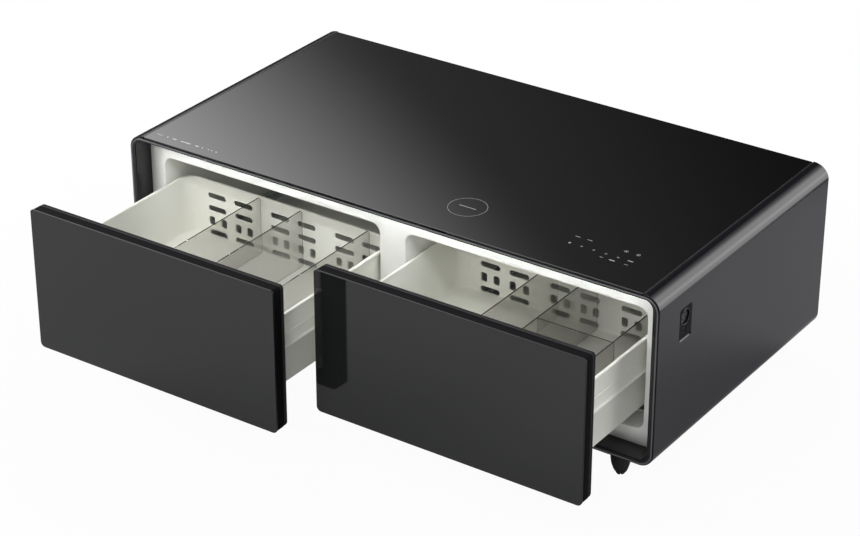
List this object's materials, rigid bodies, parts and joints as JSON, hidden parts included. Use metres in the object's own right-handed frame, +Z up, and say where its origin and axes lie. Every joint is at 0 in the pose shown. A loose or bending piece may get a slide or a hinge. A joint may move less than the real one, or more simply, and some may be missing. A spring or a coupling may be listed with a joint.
{
  "type": "refrigerator coffee table",
  "caption": "Low refrigerated coffee table on casters, with a black glass top, a side outlet plate and two cold drawers side by side, both drawn out.",
  "frame": {"origin": "on the floor, under the middle of the bounding box with both drawers drawn out as at rest", "axes": "+X along the table's width, to the right seen from the drawers; -Y out of the drawers; +Z up"},
  "size_m": [1.3, 1.04, 0.436],
  "materials": {
    "black_glass": "gloss",
    "drawer_glass": "gloss",
    "coated_sheet": "satin",
    "trim_bead": "satin",
    "white_liner": "satin",
    "white_box": "satin",
    "rigid_foam": "matte",
    "led_diffuser": "satin",
    "copper_winding": "satin",
    "circuit_board": "satin",
    "grey_housing": "matte",
    "socket_plastic": "satin",
    "painted_steel": "satin",
    "inlet_plastic": "matte",
    "zinc_plate": "satin",
    "black_enamel": "satin",
    "aluminium_fins": "satin",
    "fan_plastic": "satin",
    "rotor_plastic": "satin",
    "core_frame": "satin",
    "gasket_rubber": "matte",
    "smoked_acrylic": "gloss",
    "zinc_slide": "satin",
    "caster_zinc": "satin",
    "caster_nylon": "satin",
    "caster_tread": "matte"
  },
  "bodies": {
    "cabinet": {"outer_shell": "coated_sheet", "mouth_trim": "trim_bead", "glass_top": "black_glass", "liner": "white_liner", "foam_body": "rigid_foam", "led_strip": "led_diffuser", "charging_coil": "copper_winding", "touch_board": "circuit_board", "control_unit": "grey_housing", "socket_panel": "socket_plastic", "back_panel": "painted_steel", "power_inlet": "inlet_plastic", "compressor_base": "zinc_plate", "compressor": "black_enamel", "condenser": "aluminium_fins", "fan_frame": "fan_plastic", "left_slide_left_fixed": "zinc_slide", "left_slide_right_fixed": "zinc_slide", "right_slide_left_fixed": "zinc_slide", "right_slide_right_fixed": "zinc_slide", "caster_front_left_mount": "caster_zinc", "caster_front_right_mount": "caster_zinc", "caster_back_left_mount": "caster_zinc", "caster_back_right_mount": "caster_zinc"},
    "left_drawer": {"left_front_glass": "drawer_glass", "left_front_core": "core_frame", "left_inner_panel": "white_liner", "left_gasket": "gasket_rubber", "left_drawer_box": "white_box", "left_guard": "smoked_acrylic", "left_divider_1": "smoked_acrylic", "left_divider_2": "smoked_acrylic", "left_slide_left_drawer": "zinc_slide", "left_slide_right_drawer": "zinc_slide"},
    "left_left_middle_rail": {"left_slide_left_middle": "zinc_slide"},
    "left_right_middle_rail": {"left_slide_right_middle": "zinc_slide"},
    "right_drawer": {"right_front_glass": "drawer_glass", "right_front_core": "core_frame", "right_inner_panel": "white_liner", "right_gasket": "gasket_rubber", "right_drawer_box": "white_box", "right_guard": "smoked_acrylic", "right_divider_1": "smoked_acrylic", "right_divider_2": "smoked_acrylic", "right_cross_divider": "smoked_acrylic", "right_slide_left_drawer": "zinc_slide", "right_slide_right_drawer": "zinc_slide"},
    "right_left_middle_rail": {"right_slide_left_middle": "zinc_slide"},
    "right_right_middle_rail": {"right_slide_right_middle": "zinc_slide"},
    "fan_rotor": {"fan_rotor": "rotor_plastic"},
    "caster_front_left_hood": {"caster_front_left_hood": "caster_nylon"},
    "caster_front_left_wheels": {"caster_front_left_wheels": "caster_tread"},
    "caster_front_right_hood": {"caster_front_right_hood": "caster_nylon"},
    "caster_front_right_wheels": {"caster_front_right_wheels": "caster_tread"},
    "caster_back_left_hood": {"caster_back_left_hood": "caster_nylon"},
    "caster_back_left_wheels": {"caster_back_left_wheels": "caster_tread"},
    "caster_back_right_hood": {"caster_back_right_hood": "caster_nylon"},
    "caster_back_right_wheels": {"caster_back_right_wheels": "caster_tread"}
  },
  "joints": [
    {"name": "left_drawer_slide", "type": "slide", "parent": "cabinet", "child": "left_drawer", "axis": [0, -1, 0], "range_m": [-0.353, 0.008]},
    {"name": "left_left_middle_rail_slide", "type": "slide", "parent": "cabinet", "child": "left_left_middle_rail", "axis": [0, -1, 0], "range_m": [-0.1765, 0.004]},
    {"name": "left_right_middle_rail_slide", "type": "slide", "parent": "cabinet", "child": "left_right_middle_rail", "axis": [0, -1, 0], "range_m": [-0.1765, 0.004]},
    {"name": "right_drawer_slide", "type": "slide", "parent": "cabinet", "child": "right_drawer", "axis": [0, -1, 0], "range_m": [-0.235, 0.126]},
    {"name": "right_left_middle_rail_slide", "type": "slide", "parent": "cabinet", "child": "right_left_middle_rail", "axis": [0, -1, 0], "range_m": [-0.1175, 0.063]},
    {"name": "right_right_middle_rail_slide", "type": "slide", "parent": "cabinet", "child": "right_right_middle_rail", "axis": [0, -1, 0], "range_m": [-0.1175, 0.063]},
    {"name": "fan_spin", "type": "hinge", "parent": "cabinet", "child": "fan_rotor", "pos_m": [0.19, 0.42, 0.1313], "axis": [1, 0, 0], "continuous": true},
    {"name": "caster_front_left_swivel", "type": "hinge", "parent": "cabinet", "child": "caster_front_left_hood", "pos_m": [-0.5495, -0.13, 0.045], "axis": [0, 0, 1], "continuous": true},
    {"name": "caster_front_left_roll", "type": "hinge", "parent": "caster_front_left_hood", "child": "caster_front_left_wheels", "pos_m": [-0.54032, -0.14311, 0.021], "axis": [-0.8192, -0.5736, 0], "continuous": true},
    {"name": "caster_front_right_swivel", "type": "hinge", "parent": "cabinet", "child": "caster_front_right_hood", "pos_m": [0.5495, -0.13, 0.045], "axis": [0, 0, 1], "continuous": true},
    {"name": "caster_front_right_roll", "type": "hinge", "parent": "caster_front_right_hood", "child": "caster_front_right_wheels", "pos_m": [0.55868, -0.14311, 0.021], "axis": [-0.8192, -0.5736, 0], "continuous": true},
    {"name": "caster_back_left_swivel", "type": "hinge", "parent": "cabinet", "child": "caster_back_left_hood", "pos_m": [-0.5495, 0.47, 0.045], "axis": [0, 0, 1], "continuous": true},
    {"name": "caster_back_left_roll", "type": "hinge", "parent": "caster_back_left_hood", "child": "caster_back_left_wheels", "pos_m": [-0.5495, 0.486, 0.021], "axis": [1, 0, 0], "continuous": true},
    {"name": "caster_back_right_swivel", "type": "hinge", "parent": "cabinet", "child": "caster_back_right_hood", "pos_m": [0.5495, 0.47, 0.045], "axis": [0, 0, 1], "continuous": true},
    {"name": "caster_back_right_roll", "type": "hinge", "parent": "caster_back_right_hood", "child": "caster_back_right_wheels", "pos_m": [0.5495, 0.486, 0.021], "axis": [1, 0, 0], "continuous": true}
  ],
  "couplings": [
    {"joint": "left_left_middle_rail_slide", "follows": "left_drawer_slide", "ratio": 0.5},
    {"joint": "left_right_middle_rail_slide", "follows": "left_drawer_slide", "ratio": 0.5},
    {"joint": "right_left_middle_rail_slide", "follows": "right_drawer_slide", "ratio": 0.5},
    {"joint": "right_right_middle_rail_slide", "follows": "right_drawer_slide", "ratio": 0.5}
  ]
}
